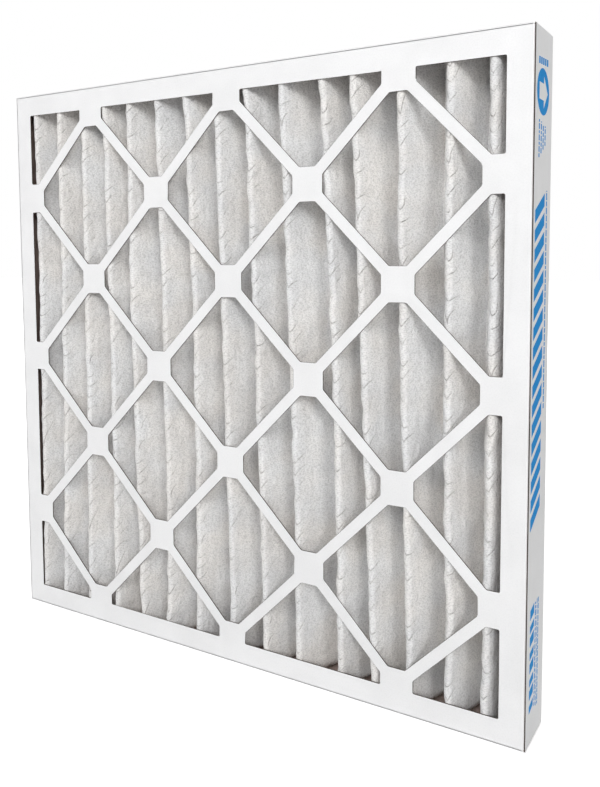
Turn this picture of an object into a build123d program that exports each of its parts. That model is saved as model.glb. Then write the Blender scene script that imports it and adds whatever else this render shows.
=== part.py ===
from build123d import *
from math import acos, atan2, cos, hypot, pi, sin
import os

# Pleated panel air filter in a die-cut board frame, millimetres.
# +X runs across the width, +Y is the way the air goes, +Z is up.
# The origin is the middle of the bottom edge; the front (air entering) face is at -Y.
# Two board trays nest: the front tray slides inside the rear tray and both hold the pleats between them.

# Overall size
width = 495.3
height = 495.3
depth = 44.45

# Board and its folds
board = 0.75            # thickness of the coated board
fold_radius = 1.2       # outside radius of a crease
glue_line = 0.15        # between two glued walls
seam = 0.2              # where a wall meets its neighbour at a corner
flange_short = 1.0      # the front tray's walls end this far from the rear face
tab_length = 22.0       # corner tabs of the front tray
tab_step = 3.0          # the tabs are this much narrower than the wall at each end

# Lattice of the front and rear faces
border = 19.2           # width of the rim around the openings
hub_inset = 21.6        # from the outer edge to the outermost row of hubs
hub_side = 26.8         # square hubs where the diagonal straps meet
strap_width = 9.1
cells = 3               # full diamonds from rim to rim

# Pleated media and the expanded metal bonded to its rear
pleats = 15
media_thickness = 2.4
grid_thickness = 0.5
bond = 0.1              # adhesive between media, grid and lattice faces
tip_radius = 3.25       # outside radius at a front tip
crease_radius = 0.3     # inside radius at a rear crease
first_tip = 25.7        # outer edge of the frame to the first tip
pleat_bow = 5.0         # the middle pleats are glued this far to the left
end_rise = 3.5          # sheet ends stop short of the top and bottom walls
foot_gap = 0.5          # sheet's flat foot to the side wall

# Nested sizes
front_y = -depth / 2
rear_y = depth / 2
inner_width = width - 2 * (board + glue_line)
inner_height = height - 2 * (board + glue_line)
inner_flange = depth - board - flange_short
laminate = media_thickness + bond + grid_thickness


def octagon(pitch_x, pitch_z):
    """One full opening: a diamond with its four points cut off by the hubs."""
    half_hub = hub_side / 2
    slack = strap_width / 2 * hypot(1 / pitch_x, 1 / pitch_z)
    top_x = pitch_x * (half_hub / pitch_z - slack)
    side_z = pitch_z * (half_hub / pitch_x - slack)
    top_z = pitch_z - half_hub
    side_x = pitch_x - half_hub
    return Polygon(
        (top_x, top_z), (side_x, side_z), (side_x, -side_z), (top_x, -top_z),
        (-top_x, -top_z), (-side_x, -side_z), (-side_x, side_z), (-top_x, top_z))


def openings():
    """Every opening of a lattice face, as a sketch in the face's own plane."""
    pitch_x = (width - 2 * hub_inset) / (2 * cells)
    pitch_z = (height - 2 * hub_inset) / (2 * cells)
    window = Rectangle(width - 2 * border, height - 2 * border)
    diamond = octagon(pitch_x, pitch_z)
    cuts = []
    for column in range(-cells, cells + 1):
        for row in range(-cells, cells + 1):
            if (column + row) % 2 == 0:
                cuts.append(window & Pos(column * pitch_x, row * pitch_z) * diamond)
    return cuts


def tray(tray_width, tray_height, flange):
    """A tray lying on its lattice face with its four walls folded up, their corners still joined."""
    outer = extrude(Rectangle(tray_width, tray_height), flange)
    outer = fillet(outer.faces().sort_by(Axis.Z)[0].edges(), fold_radius)
    hollow = extrude(Rectangle(tray_width - 2 * board, tray_height - 2 * board), flange)
    hollow = fillet(hollow.faces().sort_by(Axis.Z)[0].edges(), fold_radius - board)
    shell = outer - Pos(0, 0, board) * hollow
    for cut in openings():
        shell -= extrude(cut, board, dir=(0, 0, 1))
    return shell


def corner_slits(tray_width, tray_height, flange):
    """Open the seam between each side wall and the top or bottom wall that butts against it."""
    slit = Box(seam, board, flange - fold_radius, align=(Align.MAX, Align.MAX, Align.MIN))
    slit = Pos(tray_width / 2 - board, tray_height / 2, fold_radius) * slit
    return all_corners(slit)


def corner_tabs(tray_width, tray_height, flange):
    """Tabs at the ends of the top and bottom walls, folded back inside the side walls."""
    reach = tray_width / 2 - board - seam
    section = Polygon(
        (reach - 2 * fold_radius, 0), (reach, 0), (reach, -tab_length),
        (reach - board, -tab_length), (reach - board, -board), (reach - 2 * fold_radius, -board),
        align=None)
    outside = section.vertices().sort_by_distance((reach, 0, 0))[0]
    section = fillet(outside, fold_radius)
    inside = section.vertices().sort_by_distance((reach - board, -board, 0))[0]
    section = fillet(inside, fold_radius - board)
    tab = extrude(section, flange - fold_radius - 2 * tab_step, dir=(0, 0, 1))
    return all_corners(Pos(0, tray_height / 2, fold_radius + tab_step) * tab)


def all_corners(shape):
    """The same shape at the four corners of a tray."""
    pair = [shape, mirror(shape, about=Plane.YZ)]
    return pair + [mirror(one, about=Plane.XZ) for one in pair]


def stand_front(shape):
    """Stand a tray up with its face at the front and its walls running back."""
    return Pos(0, front_y, height / 2) * Rot(-90, 0, 0) * shape


def stand_rear(shape):
    """Stand a tray up with its face at the rear and its walls running forward."""
    return Pos(0, rear_y, height / 2) * Rot(90, 0, 0) * shape


def front_frame():
    """Inner tray: its walls are glued inside those of the rear tray."""
    body = tray(inner_width, inner_height, inner_flange)
    for slit in corner_slits(inner_width, inner_height, inner_flange):
        body -= slit
    for tab in corner_tabs(inner_width, inner_height, inner_flange):
        body += tab
    return stand_front(body)


def rear_frame():
    """Outer tray: its raw edges end flush with the front face."""
    body = tray(width, height, depth)
    for slit in corner_slits(width, height, depth):
        body -= slit
    return stand_rear(body)


def tip_places():
    """Where the front tips stand across the width, bowed a little to the left."""
    span = width - 2 * first_tip
    steps = [number / (pleats - 1) for number in range(pleats)]
    return [-span / 2 + span * step - pleat_bow * sin(pi * step) for step in steps]


def fold_places(tips):
    """Where the rear creases stand: halfway between tips, and half a pleat outside the end ones."""
    half = (width - 2 * first_tip) / (pleats - 1) / 2
    between = [(left + right) / 2 for left, right in zip(tips, tips[1:])]
    return [tips[0] - half] + between + [tips[-1] + half]


def spot(centre, radius, angle):
    """The point of a circle at an angle."""
    return (centre[0] + radius * cos(angle), centre[1] + radius * sin(angle))


def bend(centre, radius, start, end):
    """An arc about a centre between two angles."""
    middle = (start + end) / 2
    return ThreePointArc(
        spot(centre, radius, start), spot(centre, radius, middle), spot(centre, radius, end))


def surface_line(inset):
    """The folded sheet's line at some distance behind its front surface, from side wall to side wall.

    Every fold is an arc about its own centre, so lines at different insets stay parallel,
    and the flanks are the straight lines that touch neighbouring arcs.
    """
    front_radius = tip_radius - inset
    rear_radius = crease_radius + inset
    front_line = front_y + board + bond + tip_radius
    rear_line = rear_y - board - bond - laminate - crease_radius
    tips = tip_places()
    folds = fold_places(tips)
    wall = inner_width / 2 - board - seam - board - foot_gap
    foot_y = rear_line + rear_radius

    pieces = [Line((-wall, foot_y), (folds[0], foot_y))]
    entering = pi / 2
    for number, tip in enumerate(tips):
        front = (tip, front_line)
        left = (folds[number], rear_line)
        right = (folds[number + 1], rear_line)
        rising = contact_angle(front, left, front_radius + rear_radius, 1)
        falling = contact_angle(front, right, front_radius + rear_radius, -1)
        pieces.append(bend(left, rear_radius, entering, rising - pi))
        here = spot(left, rear_radius, rising - pi)
        there = spot(front, front_radius, rising)
        pieces.append(Line(here, there))
        pieces.append(bend(front, front_radius, rising, falling + 2 * pi))
        here = spot(front, front_radius, falling)
        entering = falling + pi
        there = spot(right, rear_radius, entering)
        pieces.append(Line(here, there))
    last = (folds[-1], rear_line)
    pieces.append(bend(last, rear_radius, entering, pi / 2))
    pieces.append(Line((folds[-1], foot_y), (wall, foot_y)))
    return pieces


def contact_angle(front, rear, radii, side):
    """Direction from a tip's centre to where the flank towards a rear crease leaves the tip."""
    across = rear[0] - front[0]
    back = rear[1] - front[1]
    return atan2(back, across) + side * acos(radii / hypot(across, back))


def folded_sheet(front_inset, rear_inset):
    """A folded sheet between two insets, standing between the top and bottom walls."""
    front_side = surface_line(front_inset)
    rear_side = surface_line(rear_inset)
    left_end = Line(front_side[0] @ 0, rear_side[0] @ 0)
    right_end = Line(front_side[-1] @ 1, rear_side[-1] @ 1)
    profile = make_face(front_side + [left_end] + rear_side + [right_end])
    low = board + glue_line + board + end_rise
    return Pos(0, 0, low) * extrude(profile, height - 2 * low, dir=(0, 0, 1))


def main():
    os.makedirs("parts", exist_ok=True)
    export_step(front_frame(), "parts/front_frame.step")
    export_step(rear_frame(), "parts/rear_frame.step")
    export_step(folded_sheet(0, media_thickness), "parts/pleated_media.step")
    export_step(folded_sheet(media_thickness + bond, laminate), "parts/support_grid.step")


main()
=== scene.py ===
import bmesh
import bpy
from math import acos, atan2, cos, hypot, pi, radians, sin
from mathutils import Matrix, Vector, noise


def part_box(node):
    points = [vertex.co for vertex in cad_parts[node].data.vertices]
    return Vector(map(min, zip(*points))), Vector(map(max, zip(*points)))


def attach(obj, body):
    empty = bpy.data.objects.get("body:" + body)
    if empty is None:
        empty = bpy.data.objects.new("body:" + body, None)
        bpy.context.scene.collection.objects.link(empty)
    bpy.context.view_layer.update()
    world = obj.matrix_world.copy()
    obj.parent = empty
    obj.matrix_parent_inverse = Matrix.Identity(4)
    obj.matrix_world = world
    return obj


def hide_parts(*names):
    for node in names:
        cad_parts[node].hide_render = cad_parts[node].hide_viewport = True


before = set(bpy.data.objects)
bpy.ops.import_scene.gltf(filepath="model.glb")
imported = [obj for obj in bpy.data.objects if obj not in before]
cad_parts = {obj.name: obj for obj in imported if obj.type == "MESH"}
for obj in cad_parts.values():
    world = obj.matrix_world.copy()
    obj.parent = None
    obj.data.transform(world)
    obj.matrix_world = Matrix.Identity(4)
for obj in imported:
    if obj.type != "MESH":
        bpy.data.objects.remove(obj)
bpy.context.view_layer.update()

# Pleated panel air filter: two nested trays of coated board, a folded non-woven sheet between their
# lattice faces, expanded metal on the sheet's rear, and blue print on one side wall. Metres.
MM = 0.001
scene = bpy.context.scene
scene.view_settings.view_transform = "Standard"

# Sizes read from the frame
outer_low, outer_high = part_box("rear_frame")
inner_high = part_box("front_frame")[1]
half_width = outer_high[0]
front_y, rear_y = outer_low[1], outer_high[1]
sheet_low, sheet_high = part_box("pleated_media")

# Board
BOARD = 0.75 * MM
FOLD_RADIUS = 1.2 * MM
DIE_RADIUS = 1.0 * MM    # of the corners of the lattice's openings
CRUSHED_RIM = 0.22 * MM  # bare bevel that the die leaves round an opening, in the cut edge's dark colour, partly painted shade
SEAM = 0.2 * MM
FOLD_ZONE = 5 * MM       # strip along each edge of a face where it folds into a wall
WALL_STEP = outer_high[0] - inner_high[0]  # from the front tray's walls out to the rear tray's
ALONG_AIR = 0.9          # size of a normal's y from which a face looks forwards or back
ACROSS_AIR = 0.1         # and up to which it is a cut side

# Folded sheet
PLEATS = 15
MEDIA_THICKNESS = 2.4 * MM
GRID_THICKNESS = 0.5 * MM
BOND = 0.1 * MM
TIP_RADIUS = 3.25 * MM
CREASE_RADIUS = 0.3 * MM
LAMINATE = MEDIA_THICKNESS + BOND + GRID_THICKNESS
CREASE_STEP = 13 * MM   # between neighbouring slanting creases
CREASE_REACH = 15 * MM  # how far they run from a tip
CREASE_CLIMB = 1.1      # rise of a crease for each metre away from the tip
CREASE_WANDER = 0.035   # how far, in metres, noise moves a crease up or down
CREASE_SHARPNESS = 40.0
CREASE_SHIFT = 0.037    # how far, in metres, the pattern of creases drops from one pleat to the next


# ---------------------------------------------------------------- materials

BLACK = (0, 0, 0)
WHITE = (1, 1, 1)


def new_material(name, base, roughness):
    """A named material with its node tree, shader and plain colour."""
    material = bpy.data.materials.new(name)
    material.use_nodes = True
    tree = material.node_tree
    shader = tree.nodes["Principled BSDF"]
    shader.inputs["Base Color"].default_value = (*base, 1)
    shader.inputs["Roughness"].default_value = roughness
    shader.inputs["Specular IOR Level"].default_value = 0.25
    return material, tree, shader


def noise_node(tree, source, scale, detail=4.0, stretch=(1, 1, 1)):
    """Noise on a coordinate, its scale in lumps per metre."""
    mapping = tree.nodes.new("ShaderNodeMapping")
    mapping.inputs["Scale"].default_value = stretch
    tree.links.new(source, mapping.inputs["Vector"])
    node = tree.nodes.new("ShaderNodeTexNoise")
    node.inputs["Scale"].default_value = scale
    node.inputs["Detail"].default_value = detail
    tree.links.new(mapping.outputs["Vector"], node.inputs["Vector"])
    return node.outputs["Fac"]


def blend_colours(tree, factor, low, high, start=0.3, end=0.7):
    """A colour between two, as a factor goes from start to end."""
    ramp = tree.nodes.new("ShaderNodeValToRGB")
    ramp.color_ramp.elements[0].position = start
    ramp.color_ramp.elements[0].color = (*low, 1)
    ramp.color_ramp.elements[1].position = end
    ramp.color_ramp.elements[1].color = (*high, 1)
    tree.links.new(factor, ramp.inputs["Fac"])
    return ramp.outputs["Color"]


def mix(tree, kind, factor, first, second):
    """Mix two colours; factor may be a number or a socket."""
    node = tree.nodes.new("ShaderNodeMix")
    node.data_type = "RGBA"
    node.blend_type = kind
    if isinstance(factor, float):
        node.inputs["Factor"].default_value = factor
    else:
        tree.links.new(factor, node.inputs["Factor"])
    tree.links.new(first, node.inputs["A"])
    tree.links.new(second, node.inputs["B"])
    return node.outputs["Result"]


def sums(tree, operation, first, second=None, third=None):
    """A math node on sockets or numbers."""
    node = tree.nodes.new("ShaderNodeMath")
    node.operation = operation
    for place, value in enumerate((first, second, third)):
        if value is None:
            continue
        if isinstance(value, (int, float)):
            node.inputs[place].default_value = value
        else:
            tree.links.new(value, node.inputs[place])
    return node.outputs[0]


def bump(tree, shader, layers):
    """Stack bumps: each layer is a height socket and its depth in metres."""
    previous = None
    for height_socket, depth in layers:
        node = tree.nodes.new("ShaderNodeBump")
        node.inputs["Distance"].default_value = depth
        node.inputs["Strength"].default_value = 1.0
        tree.links.new(height_socket, node.inputs["Height"])
        if previous:
            tree.links.new(previous, node.inputs["Normal"])
        previous = node.outputs["Normal"]
    tree.links.new(previous, shader.inputs["Normal"])


def object_coordinates(tree):
    """Places on the object itself, in metres."""
    return tree.nodes.new("ShaderNodeTexCoord").outputs["Object"]


def coated_board(name, base):
    """Clay-coated face of the board: nearly white, faintly mottled and slightly orange-peeled."""
    material, tree, shader = new_material(name, base, 0.5)
    place = object_coordinates(tree)
    cloudy = noise_node(tree, place, scale=28, detail=5)
    waves = noise_node(tree, place, scale=60, detail=2)
    fine = noise_node(tree, place, scale=900, detail=3)
    dim = tuple(channel * 0.955 for channel in base)
    colour = blend_colours(tree, cloudy, dim, base, start=0.35, end=0.62)
    specks = blend_colours(tree, fine, (0.96, 0.96, 0.96), WHITE, start=0.3, end=0.55)
    tree.links.new(mix(tree, "MULTIPLY", 1.0, colour, specks), shader.inputs["Base Color"])
    bump(tree, shader, [(waves, 0.5 * MM), (fine, 0.06 * MM)])
    return material


def kraft_board(name, light, dark):
    """Uncoated brown-grey inside of the board and its cut edges, with short fibres; the cut edges'
    near-black is partly painted shade.
    """
    material, tree, shader = new_material(name, light, 0.9)
    place = object_coordinates(tree)
    fibres = noise_node(tree, place, scale=420, detail=6, stretch=(1, 1, 0.25))
    blotches = noise_node(tree, place, scale=40, detail=3)
    colour = blend_colours(tree, fibres, dark, light, start=0.35, end=0.65)
    shade = blend_colours(tree, blotches, (0.82, 0.8, 0.78), WHITE, start=0.35, end=0.65)
    tree.links.new(mix(tree, "MULTIPLY", 1.0, colour, shade), shader.inputs["Base Color"])
    bump(tree, shader, [(fibres, 0.15 * MM)])
    return material


def slanting_creases(tree, sheet_place):
    """Grooves that climb away from each fold tip, deepest beside it and broken up by noise.

    sheet_place is the sheet's own UV: across (distance from the fold tip) and along (height).
    """
    split = tree.nodes.new("ShaderNodeSeparateXYZ")
    tree.links.new(sheet_place, split.inputs["Vector"])
    across, along = split.outputs["X"], split.outputs["Y"]
    wander = noise_node(tree, sheet_place, scale=30, detail=1)
    climb = sums(tree, "MULTIPLY", sums(tree, "ABSOLUTE", across), CREASE_CLIMB)
    phase = sums(tree, "SUBTRACT", along, climb)
    phase = sums(tree, "MULTIPLY_ADD", wander, CREASE_WANDER, phase)
    wave = sums(tree, "COSINE", sums(tree, "MULTIPLY", phase, 2 * pi / CREASE_STEP))
    groove = sums(tree, "POWER", sums(tree, "MAXIMUM", wave, 0.0), CREASE_SHARPNESS)
    away = sums(tree, "DIVIDE", sums(tree, "ABSOLUTE", across), CREASE_REACH)
    near = sums(tree, "MAXIMUM", sums(tree, "SUBTRACT", 1.0, away), 0.0)
    gaps = noise_node(tree, sheet_place, scale=75, detail=1)
    broken = blend_colours(tree, gaps, BLACK, WHITE, start=0.4, end=0.55)
    return sums(tree, "MULTIPLY", sums(tree, "MULTIPLY", groove, near), broken)


def nonwoven(name, base):
    """Lofted fibre sheet: matted fibres, soft blotches and slanting creases beside each fold tip, with
    painted shade in the creases.
    """
    material, tree, shader = new_material(name, base, 0.95)
    shader.inputs["Sheen Weight"].default_value = 0.25
    shader.inputs["Sheen Roughness"].default_value = 0.6
    shader.inputs["Specular IOR Level"].default_value = 0.1
    place = object_coordinates(tree)
    sheet = tree.nodes.new("ShaderNodeUVMap")
    sheet.uv_map = "sheet"

    felt = noise_node(tree, place, scale=620, detail=8, stretch=(1, 1, 1.9))
    tufts = noise_node(tree, place, scale=190, detail=5)
    blotches = noise_node(tree, place, scale=34, detail=4)
    warm = noise_node(tree, place, scale=22, detail=2)
    dim = tuple(channel * 0.76 for channel in base)
    colour = blend_colours(tree, felt, dim, base, start=0.37, end=0.56)
    patches = blend_colours(tree, blotches, (0.9, 0.9, 0.905), WHITE, start=0.35, end=0.62)
    tint = blend_colours(tree, warm, (0.985, 0.99, 1.0), (1.0, 0.98, 0.96), start=0.4, end=0.62)
    colour = mix(tree, "MULTIPLY", 1.0, colour, patches)
    colour = mix(tree, "MULTIPLY", 1.0, colour, tint)

    groove = slanting_creases(tree, sheet.outputs["UV"])
    # painted shade: the colour darkens along the creases' grooves
    shadow = blend_colours(tree, groove, WHITE, (0.74, 0.725, 0.71), start=0.03, end=0.8)
    colour = mix(tree, "MULTIPLY", 1.0, colour, shadow)
    tree.links.new(colour, shader.inputs["Base Color"])

    soft = noise_node(tree, place, scale=55, detail=3, stretch=(1, 1, 0.45))
    bump(tree, shader, [
        (soft, 2.0 * MM),
        (sums(tree, "MULTIPLY", groove, -1.0), 0.7 * MM),
        (tufts, 1.1 * MM),
        (felt, 0.5 * MM),
    ])
    return material


def galvanised(name):
    """Thin expanded steel: dull zinc grey with a faint spangle."""
    material, tree, shader = new_material(name, (0.5, 0.51, 0.52), 0.38)
    shader.inputs["Metallic"].default_value = 1.0
    place = object_coordinates(tree)
    spangle = noise_node(tree, place, scale=260, detail=3)
    colour = blend_colours(tree, spangle, (0.4, 0.41, 0.42), (0.62, 0.63, 0.65), start=0.35, end=0.65)
    tree.links.new(colour, shader.inputs["Base Color"])
    bump(tree, shader, [(spangle, 0.08 * MM)])
    return material


def ink(name, base):
    """Flat printing ink, a little uneven where the board shows through."""
    material, tree, shader = new_material(name, base, 0.6)
    shader.inputs["Specular IOR Level"].default_value = 0.1
    place = object_coordinates(tree)
    uneven = noise_node(tree, place, scale=700, detail=4)
    worn = tuple(min(1.0, channel + 0.03) for channel in base)
    colour = blend_colours(tree, uneven, base, worn, start=0.5, end=0.8)
    tree.links.new(colour, shader.inputs["Base Color"])
    bump(tree, shader, [(uneven, 0.03 * MM)])
    return material


white_coat = coated_board("white_board_coating", (0.88, 0.88, 0.885))
wall_coat = coated_board("wall_board_coating", (0.87, 0.87, 0.87))
kraft = kraft_board("kraft_inside", (0.5, 0.4, 0.36), (0.36, 0.28, 0.25))
# Near-black brown of the cut edges: partly the board's own core, partly painted shade of the dark gaps
# at the lattice's rims and the right-hand seam.
cut_edge_and_gap_shade = kraft_board("cut_board_edge_and_painted_shade", (0.085, 0.07, 0.06), (0.045, 0.035, 0.03))
media_finish = nonwoven("fibre_sheet", (0.9, 0.895, 0.885))
zinc = galvanised("galvanised_grid")
blue_ink = ink("blue_wall_ink", (0.002, 0.27, 0.68))


# ---------------------------------------------------------------- board trays

def new_piece(name, mesh, materials, replaced=None):
    """A finished piece at the origin, riding with the one body of the filter."""
    piece = bpy.data.objects.new(name, mesh)
    scene.collection.objects.link(piece)
    for material in materials:
        mesh.materials.append(material)
    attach(piece, "root")
    if replaced:
        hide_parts(replaced)
    return piece


def tray_side(centre, normal, low, high, face_y, inward):
    """Which side of the board a face is: 0 coated outside, 1 kraft inside, 2 cut edge, whose dark
    colour is partly painted shade.

    The coating wraps the rim of the walls everywhere but along the right-hand seam.
    """
    near = 0.06 * MM
    depth = (centre.y - face_y) * inward
    from_side = min(centre.x - low[0], high[0] - centre.x)
    from_end = min(centre.z - low[2], high[2] - centre.z)
    for gap in (from_side, from_end):
        if depth < FOLD_RADIUS and gap < FOLD_RADIUS:
            bend = hypot(FOLD_RADIUS - depth, FOLD_RADIUS - gap)
            return 0 if bend > FOLD_RADIUS - BOARD / 2 else 1
    if abs(normal.y) > ALONG_AIR:
        if depth < near:
            return 0
        if depth < BOARD + near:
            return 1
        # the wall's rim along the right-hand seam takes the cut edge's dark colour, partly painted
        # shade in the seam
        return 2 if centre.x > high[0] - 2 * BOARD else 0
    if depth < BOARD + near and from_side > 2 * BOARD and from_end > 2 * BOARD:
        return 2
    at_corner_end = from_end < near and from_side < BOARD + SEAM / 2
    if min(from_side, from_end) < near and not at_corner_end:
        return 0
    return 1


def nested(point, low, high, outwards):
    """Shift of a wall: on the left, top and bottom the front tray is the outer one."""
    reach = BOARD + FOLD_RADIUS
    shift = Vector((0, 0, 0))
    if point.x - low[0] < reach:
        shift.x = -outwards
    if point.z - low[2] < reach:
        shift.z = -outwards
    if high[2] - point.z < reach:
        shift.z = outwards
    return shift


def bevel(shape, edges, size, segments):
    """Bevel some edges of a tray."""
    bmesh.ops.bevel(
        shape, geom=edges, offset=size, offset_type="OFFSET", segments=segments,
        affect="EDGES", profile=0.5, material=-1)


def board_tray(name, node, face_y, inward, outwards, coating):
    """A tray from its own solid: the openings' corners rounded, their rims crushed, its walls shifted.

    inward is the way from its lattice face into the filter, outwards how far its walls move out.
    """
    low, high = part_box(node)
    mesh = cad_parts[node].data.copy()
    mesh.name = name
    mesh.materials.clear()
    shape = bmesh.new()
    shape.from_mesh(mesh)
    bmesh.ops.remove_doubles(shape, verts=shape.verts, dist=0.001 * MM)
    bmesh.ops.dissolve_limit(
        shape, angle_limit=radians(1), verts=shape.verts, edges=shape.edges, delimit={"NORMAL"})
    bevel(shape, [edge for edge in shape.edges if is_die_corner(edge, low, high)], DIE_RADIUS, 4)
    bmesh.ops.triangulate(shape, faces=shape.faces, ngon_method="BEAUTY")
    shape.normal_update()
    bevel(shape, [edge for edge in shape.edges if is_die_rim(edge, low, high, face_y)], CRUSHED_RIM, 1)
    bmesh.ops.triangulate(shape, faces=shape.faces, ngon_method="BEAUTY")
    for face in shape.faces:
        side = tray_side(face.calc_center_median(), face.normal, low, high, face_y, inward)
        face.material_index = side
        face.smooth = False
    for vert in shape.verts:
        vert.co += nested(vert.co, low, high, outwards)
    shape.to_mesh(mesh)
    shape.free()
    return new_piece(name, mesh, [coating, kraft, cut_edge_and_gap_shade], node)


def clear_of_walls(place, low, high):
    """Whether a place lies in the lattice face, away from the folds to the walls."""
    gaps = (place.x - low[0], high[0] - place.x, place.z - low[2], high[2] - place.z)
    return min(gaps) > FOLD_ZONE


def is_die_corner(edge, low, high):
    """An edge through the board at a corner of a lattice opening."""
    ends = [vert.co for vert in edge.verts]
    run = ends[0] - ends[1]
    through = abs(abs(run.y) - BOARD) < 0.05 * MM and hypot(run.x, run.z) < 0.01 * MM
    return through and clear_of_walls((ends[0] + ends[1]) / 2, low, high)


def is_die_rim(edge, low, high, face_y):
    """An edge between the outer face and the cut side of a lattice opening."""
    if len(edge.link_faces) != 2 or any(abs(vert.co.y - face_y) > 0.01 * MM for vert in edge.verts):
        return False
    slopes = sorted(abs(face.normal.y) for face in edge.link_faces)
    outer_rim = slopes[0] < ACROSS_AIR and slopes[1] > ALONG_AIR
    return outer_rim and clear_of_walls(edge.verts[0].co, low, high)


board_tray("front_tray", "front_frame", front_y, 1, WALL_STEP, white_coat)
board_tray("rear_tray", "rear_frame", rear_y, -1, -WALL_STEP, wall_coat)


# ---------------------------------------------------------------- folded sheet

# Where each fold tip stands, in mm from the left edge, at the top, the middle and the foot
TIPS_TOP = (24.3, 55, 85, 112, 141, 173, 203.5, 235, 265, 298.5, 334, 361, 399, 437, 467)
TIPS_MIDDLE = (24.8, 55, 85.5, 116, 142.5, 179, 212, 243, 275, 308, 346, 371, 403, 436.5, 468)
TIPS_FOOT = (20.5, 47.5, 80.5, 115.5, 148, 178, 210, 248, 281.5, 313.5, 350.5, 380.5, 409, 440, 465.5)
TIP_SWAY = 1.1          # mm, slow wandering of a fold tip
TIP_WAVER = 1.3         # mm, quick wandering
TIP_DENT = 1.2          # mm, short dents, all to the left
FOLD_SWAY = 0.8         # mm, wandering of a rear crease

FRONT_LINE = front_y + BOARD + BOND + TIP_RADIUS
REAR_LINE = rear_y - BOARD - BOND - LAMINATE - CREASE_RADIUS
ARC_SHARE = 0.3         # share of a half pleat's columns on each bend
ARC_LENGTH = 4.0 * MM   # length of a bend along the sheet, from its tip to the flank
FLANK_LENGTH = 39.4 * MM
ACROSS = 10             # columns on each half pleat
COLUMNS = 2 * PLEATS * ACROSS
ROW = 3.3 * MM
FOOT_COLUMNS = 2        # columns from each last fold to the side wall
RAGGED = 0.8 * MM       # unevenness of the sheet's cut ends
BROAD_SWELL = 1.3 * MM
SMALL_SWELL = 0.5 * MM


def tip_x(number, z):
    """Place of a fold tip at a height: a parabola through its three places, and a little wandering."""
    up = (z - sheet_low[2]) / (sheet_high[2] - sheet_low[2])
    top, middle, foot = TIPS_TOP[number], TIPS_MIDDLE[number], TIPS_FOOT[number]
    place = foot * (1 - up) * (1 - 2 * up) + middle * 4 * up * (1 - up) + top * up * (2 * up - 1)
    place += TIP_SWAY * noise.noise(Vector((number * 7.3, z * 17, 0)))
    place += TIP_WAVER * noise.noise(Vector((number * 3.1, z * 62, 5)))
    place -= TIP_DENT * abs(noise.noise(Vector((number * 2.3, z * 95, 8))))
    return place * MM - half_width


def fold_x(number, z):
    """Place of a rear crease: between its neighbours, or half a pleat outside the last tip."""
    if number == 0:
        return tip_x(0, z) - (tip_x(1, z) - tip_x(0, z)) / 2
    if number == PLEATS:
        return tip_x(PLEATS - 1, z) + (tip_x(PLEATS - 1, z) - tip_x(PLEATS - 2, z)) / 2
    between = (tip_x(number - 1, z) + tip_x(number, z)) / 2
    return between + FOLD_SWAY * MM * noise.noise(Vector((number * 5.7, z * 12, 9)))


def on_half_pleat(half, part, z, inset):
    """A point of the folded sheet and its forward normal.

    half counts half pleats from the left, part runs 0 to 1 across it: ARC_SHARE of it on each bend
    and the rest on the flank. inset is the depth behind the sheet's front surface.
    """
    rises_to_tip = half % 2 == 0
    tip = tip_x(half // 2, z)
    fold = fold_x((half + 1) // 2, z)
    side = -1 if rises_to_tip else 1
    share = 1 - part if rises_to_tip else part
    front_radius = TIP_RADIUS - inset
    rear_radius = CREASE_RADIUS + inset
    across = (fold - tip) * side
    back = REAR_LINE - FRONT_LINE
    turn = atan2(back, across) - acos((front_radius + rear_radius) / hypot(back, across))
    if share < ARC_SHARE:
        angle = -pi / 2 + (turn + pi / 2) * share / ARC_SHARE
        x, y = front_radius * cos(angle), front_radius * sin(angle)
        normal = (cos(angle), sin(angle))
    elif share > 1 - ARC_SHARE:
        angle = pi + turn - (turn + pi / 2) * (share - 1 + ARC_SHARE) / ARC_SHARE
        x, y = across + rear_radius * cos(angle), back + rear_radius * sin(angle)
        normal = (-cos(angle), -sin(angle))
    else:
        along = (share - ARC_SHARE) / (1 - 2 * ARC_SHARE)
        start = (front_radius * cos(turn), front_radius * sin(turn))
        end = (across - rear_radius * cos(turn), back - rear_radius * sin(turn))
        x = start[0] + (end[0] - start[0]) * along
        y = start[1] + (end[1] - start[1]) * along
        normal = (cos(turn), sin(turn))
    return Vector((tip + side * x, FRONT_LINE + y, z)), Vector((side * normal[0], normal[1], 0))


def flank_part(share):
    """How far along the flank a share of a half pleat is: 0 to 1, and held there on the bends."""
    return max(0, min(1, (share - ARC_SHARE) / (1 - 2 * ARC_SHARE)))


def soft_swell(half, part, z):
    """How far the sheet swells or sinks on a flank, nothing on the bends."""
    flank = sin(pi * flank_part(part)) ** 2
    broad = noise.noise(Vector((half * 3.7, part * 1.6, z * 16)))
    small = noise.noise(Vector((half * 9.1, part * 5, z * 60)))
    return (BROAD_SWELL * broad + SMALL_SWELL * small) * flank


def sheet_point(column, z, inset):
    """A point of the sheet at a column, which counts across all half pleats."""
    half = min(int(column / ACROSS), 2 * PLEATS - 1)
    part = column / ACROSS - half
    point, normal = on_half_pleat(half, part, z, inset)
    return point + normal * soft_swell(half, part, z)


def from_tip(part):
    """Distance along the sheet from a fold tip, for a part of a half pleat either side of it."""
    share = abs(part)
    length = ARC_LENGTH * min(1, share / ARC_SHARE) + FLANK_LENGTH * flank_part(share)
    return length if part > 0 else -length


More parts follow.
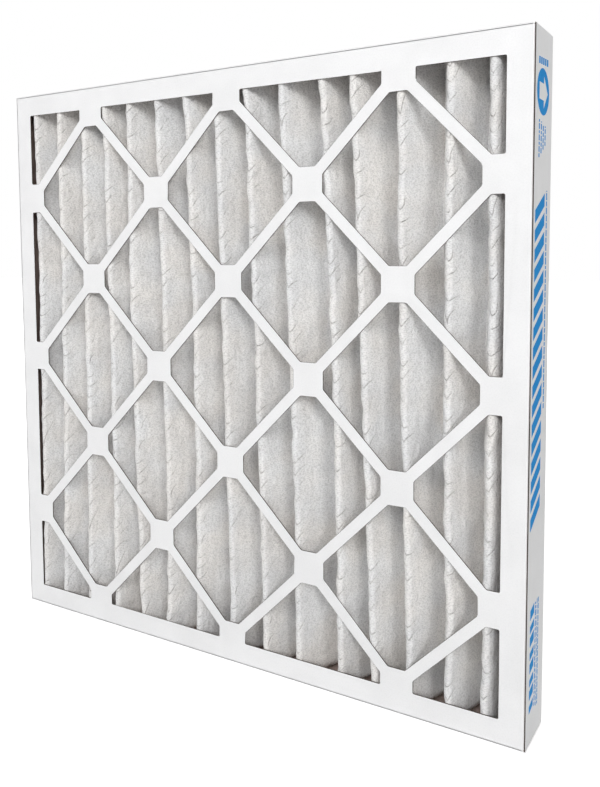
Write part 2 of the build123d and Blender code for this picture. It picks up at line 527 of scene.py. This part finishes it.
def folded_media():
    """The non-woven sheet as a bent grid with a wall of its own thickness."""
    shape = bmesh.new()
    rows = round((sheet_high[2] - sheet_low[2]) / ROW)
    columns = COLUMNS + 2 * FOOT_COLUMNS
    bmesh.ops.create_grid(shape, x_segments=columns, y_segments=rows, size=0.5)
    sheet = shape.loops.layers.uv.new("sheet")
    places = {}
    for vert in shape.verts:
        column = round((vert.co.x + 0.5) * columns) - FOOT_COLUMNS
        row = round((vert.co.y + 0.5) * rows)
        places[vert] = (column, row)
        ragged = RAGGED * noise.noise(Vector((column * 0.11, 0, 3)))
        z = sheet_low[2] + ragged + (sheet_high[2] - sheet_low[2] - 2 * ragged) * row / rows
        if 0 <= column <= COLUMNS:
            vert.co = sheet_point(column, z, 0)
            continue
        end = -1 if column < 0 else 1
        beyond = -column if column < 0 else column - COLUMNS
        start = sheet_point(0 if column < 0 else COLUMNS, z, 0)
        vert.co = start.lerp(Vector((end * sheet_high[0], start.y, z)), beyond / FOOT_COLUMNS)
    for face in shape.faces:
        face.smooth = True
        middle = sum(places[vert][0] for vert in face.verts) / 4
        pleat = max(0, min(PLEATS - 1, int(middle // (2 * ACROSS))))
        for loop in face.loops:
            column, row = places[loop.vert]
            across = from_tip((column - (2 * pleat + 1) * ACROSS) / ACROSS)
            loop[sheet].uv = (across, loop.vert.co.z + pleat * CREASE_SHIFT)
    bmesh.ops.recalc_face_normals(shape, faces=shape.faces)
    mesh = bpy.data.meshes.new("media_sheet")
    shape.to_mesh(mesh)
    shape.free()
    if mesh.polygons[len(mesh.polygons) // 2].normal.y > 0:
        mesh.flip_normals()
    piece = new_piece("media_sheet", mesh, [media_finish], "pleated_media")
    wall = piece.modifiers.new("wall", "SOLIDIFY")
    wall.thickness = MEDIA_THICKNESS
    wall.offset = -1
    return piece


media_sheet = folded_media()


# ---------------------------------------------------------------- expanded metal

STRAND_RISE = 6.6 * MM  # height between neighbouring zigzag strands
STRAND_WIDTH = 1.1 * MM
STRAND_THICKNESS = 0.8 * GRID_THICKNESS
BARE_END = 6 * MM       # sheet left bare above and below the grid
ZIGZAGS = 3             # slants of a strand on each half pleat
STATIONS = (0, 0.1, 0.2, 0.3, 0.43, 0.57, 0.7, 0.85)  # where a strand has points on a half pleat


def expanded_grid():
    """Zigzag strands that meet at their peaks, bent round the folds with the sheet."""
    shape = bmesh.new()
    low, high = sheet_low[2] + BARE_END, sheet_high[2] - BARE_END
    strands = int((high - low) / STRAND_RISE)
    stops = [half + part for half in range(2 * PLEATS) for part in STATIONS] + [2 * PLEATS]
    inset = MEDIA_THICKNESS + BOND
    for strand in range(strands):
        made = bmesh.ops.create_grid(shape, x_segments=len(stops) - 1, y_segments=1, size=0.5)
        middle = low + (strand + 0.5) * STRAND_RISE
        swing = STRAND_RISE / 2 if strand % 2 else -STRAND_RISE / 2
        for vert in made["verts"]:
            stop = stops[round((vert.co.x + 0.5) * (len(stops) - 1))]
            edge = 1 if vert.co.y > 0 else -1
            phase = stop * ZIGZAGS % 2
            slant = 1 - 2 * abs(phase - 1)
            z = middle + swing * slant + edge * STRAND_WIDTH / 2
            vert.co = sheet_point(stop * ACROSS, z, inset)
    mesh = bpy.data.meshes.new("expanded_grid")
    shape.to_mesh(mesh)
    shape.free()
    if mesh.polygons[len(STATIONS) // 2].normal.y > 0:
        mesh.flip_normals()
    piece = new_piece("expanded_grid", mesh, [zinc], "support_grid")
    wall = piece.modifiers.new("wall", "SOLIDIFY")
    wall.thickness = STRAND_THICKNESS
    wall.offset = -1
    return piece


expanded_grid()


# ---------------------------------------------------------------- wall print

INK_HEIGHT = 0.03 * MM
STRIPES = 17
SHORTEST_DASH = 0.4 * MM
DASH_GAP = 0.9 * MM
ARROW = ((-0.6, 0.0), (-0.6, 0.36), (0.12, 0.36), (0.12, 0.7), (0.76, 0.0))  # half of it, in radii
DISC_STEPS = 24


def printed_plate(shape, corners):
    """Add a thin plate to the wall; corners are (distance behind the front edge, height) pairs."""
    verts = []
    for back, up in corners:
        verts.append(shape.verts.new((half_width, front_y + back, up)))
    face = shape.faces.new(verts)
    face.normal_update()
    if face.normal.x < 0:
        face.normal_flip()
    raised = bmesh.ops.extrude_face_region(shape, geom=[face])
    top = [item for item in raised["geom"] if isinstance(item, bmesh.types.BMVert)]
    bmesh.ops.translate(shape, verts=top, vec=(INK_HEIGHT, 0, 0))


def slanted_block(shape, back, up, deep, tall, lean=0.0):
    """A block of ink, leaning upwards towards the rear."""
    printed_plate(shape, [
        (back, up), (back + deep, up + lean), (back + deep, up + lean + tall), (back, up + tall)])


def dashes(shape, back, start, end, deep, length):
    """A rule broken into dashes of uneven length."""
    up = start
    number = 0
    while up < end:
        tall = min(length * (0.7 + 0.9 * abs(sin(number * 1.7 + back * 900))), end - up)
        if tall > SHORTEST_DASH:
            slanted_block(shape, back, up, deep, tall)
        up += tall + DASH_GAP
        number += 1


def flow_disc(shape, back, up, radius):
    """A disc of ink as two halves round a bare arrow that points to the rear."""
    turns = [pi * step / DISC_STEPS for step in range(DISC_STEPS + 1)]
    for half in (1, -1):
        rim = [(cos(turn), half * sin(turn)) for turn in turns]
        inside = [(x, half * y) for x, y in ARROW]
        outline = rim + inside
        printed_plate(shape, [(back + radius * x, up + radius * y) for x, y in outline])


def flow_stripes(shape, start, end):
    """A broad band of even stripes that lean steeply towards the rear."""
    step = (end - start) / STRIPES
    for stripe in range(STRIPES):
        slanted_block(shape, 4 * MM, start + stripe * step, 24 * MM, 0.66 * step, 0.95 * step)


def foot_panel(shape):
    """Eight leaning blocks over three broken rules."""
    for block in range(8):
        up = (24 + 9.6 * block) * MM
        tall = (5.4 + 1.6 * (block % 2)) * MM
        slanted_block(shape, 8 * MM, up, 10 * MM, tall, lean=2.5 * MM)
    dashes(shape, 20.5 * MM, 24 * MM, 100 * MM, 2.2 * MM, 2.6 * MM)
    dashes(shape, 25 * MM, 22 * MM, 102 * MM, 1.4 * MM, 2.4 * MM)
    dashes(shape, 28 * MM, 22 * MM, 102 * MM, 1.8 * MM, 2.8 * MM)


def disc_panel(shape):
    """The flow disc, with four broken rules below it and a row of short blocks above."""
    for line in range(4):
        back, start, end = 10 + 5 * line, 409 + 3 * line, 434 - line
        dashes(shape, back * MM, start * MM, end * MM, 2.4 * MM, 2.4 * MM)
    for line in range(5):
        back, up = 8 + 5 * line, 470 + 0.3 * line
        slanted_block(shape, back * MM, up * MM, 3.6 * MM, 4.6 * MM, lean=0.4 * MM)
    flow_disc(shape, 19.5 * MM, 453 * MM, 15.5 * MM)


def wall_print():
    """Generic blue print: a band of stripes with a fine rule, a panel at the foot and a flow disc."""
    shape = bmesh.new()
    flow_stripes(shape, 155 * MM, 378 * MM)
    dashes(shape, 32 * MM, 236 * MM, 388 * MM, 2.4 * MM, 3.1 * MM)
    foot_panel(shape)
    disc_panel(shape)
    bmesh.ops.recalc_face_normals(shape, faces=shape.faces)
    mesh = bpy.data.meshes.new("wall_print")
    shape.to_mesh(mesh)
    shape.free()
    return new_piece("wall_print", mesh, [blue_ink])


wall_print()


# ---------------------------------------------------------------- stage, lights and camera

AMBIENT = 0.21          # strength of the light from all round
FLOOR_HALF = 8          # half of its width, in metres
FLOOR_NEAR = 0.5        # how much the floor is lightened for the camera beside the filter
FLOOR_FAR = 1.0         # and far off
NEAR_END = 0.3          # distance, in metres, up to which FLOOR_NEAR holds
FAR_START = 1.4
LIT_POINT = (0, 0, 0.25)

FOCAL_LENGTH = 37.26    # mm, on a sensor 36 mm wide
SENSOR_WIDTH = 36
LENS_SHIFT = (0.0057, -0.1067)
CAMERA_PLACE = (0.3918, -0.5646, 0.3487)
CAMERA_TURN = 31.118    # degrees to the left of straight on
CAMERA_DIP = 4.23       # degrees below level
CAMERA_ROLL = -0.3255   # degrees


def studio_floor():
    """A pale floor that the camera sees as white, but for the filter's soft shadow."""
    shape = bmesh.new()
    bmesh.ops.create_grid(shape, x_segments=1, y_segments=1, size=FLOOR_HALF)
    mesh = bpy.data.meshes.new("studio_floor")
    shape.to_mesh(mesh)
    shape.free()
    floor = bpy.data.objects.new("studio_floor", mesh)
    scene.collection.objects.link(floor)
    material, tree, shader = new_material("studio_white", (0.9, 0.9, 0.9), 0.9)
    reach = tree.nodes.new("ShaderNodeVectorMath")
    reach.operation = "LENGTH"
    tree.links.new(object_coordinates(tree), reach.inputs[0])
    spread = tree.nodes.new("ShaderNodeMapRange")
    spread.inputs["From Min"].default_value = NEAR_END
    spread.inputs["From Max"].default_value = FAR_START
    spread.inputs["To Min"].default_value = FLOOR_NEAR
    spread.inputs["To Max"].default_value = FLOOR_FAR
    tree.links.new(reach.outputs["Value"], spread.inputs["Value"])
    rays = tree.nodes.new("ShaderNodeLightPath")
    shader.inputs["Emission Color"].default_value = (1, 1, 1, 1)
    tree.links.new(
        sums(tree, "MULTIPLY", rays.outputs["Is Camera Ray"], spread.outputs["Result"]),
        shader.inputs["Emission Strength"])
    mesh.materials.append(material)


def studio_air():
    """Even white light from all round, at full white where the camera or a gloss sees it."""
    world = bpy.data.worlds.new("studio")
    scene.world = world
    world.use_nodes = True
    tree = world.node_tree
    background = tree.nodes["Background"]
    rays = tree.nodes.new("ShaderNodeLightPath")
    seen = sums(tree, "MAXIMUM", rays.outputs["Is Camera Ray"], rays.outputs["Is Glossy Ray"])
    strength = sums(tree, "MULTIPLY_ADD", seen, 1.0 - AMBIENT, AMBIENT)
    background.inputs["Color"].default_value = (1, 1, 1, 1)
    tree.links.new(strength, background.inputs["Strength"])


def soft_light(name, place, size, power):
    """A soft rectangular lamp that looks at the middle of the filter; power in watts."""
    lamp = bpy.data.lights.new(name, "AREA")
    lamp.shape = "RECTANGLE"
    lamp.size, lamp.size_y = size
    lamp.energy = power
    holder = bpy.data.objects.new(name, lamp)
    holder.location = place
    holder.rotation_euler = (Vector(LIT_POINT) - Vector(place)).to_track_quat("-Z", "Y").to_euler()
    scene.collection.objects.link(holder)


studio_floor()
studio_air()
soft_light("key", (0.4, -2.7, 1.9), size=(2.2, 1.6), power=53)
soft_light("fill", (3.3, -3.2, 1.6), size=(1.3, 1.3), power=60)
soft_light("back", (-0.9, 2.7, 1.9), size=(2.2, 1.8), power=55)


def front_camera():
    """The camera in front of the filter at its right, close enough for strong perspective."""
    lens = bpy.data.cameras.new("camera")
    lens.sensor_width = SENSOR_WIDTH
    lens.lens = FOCAL_LENGTH
    lens.shift_x, lens.shift_y = LENS_SHIFT
    lens.clip_start = 0.01
    holder = bpy.data.objects.new("camera", lens)
    holder.location = CAMERA_PLACE
    turn = Matrix.Rotation(radians(CAMERA_TURN), 3, "Z")
    tilt = Matrix.Rotation(radians(90 - CAMERA_DIP), 3, "X")
    roll = Matrix.Rotation(radians(CAMERA_ROLL), 3, "Z")
    holder.rotation_euler = (turn @ tilt @ roll).to_euler()
    scene.collection.objects.link(holder)
    scene.camera = holder


front_camera()
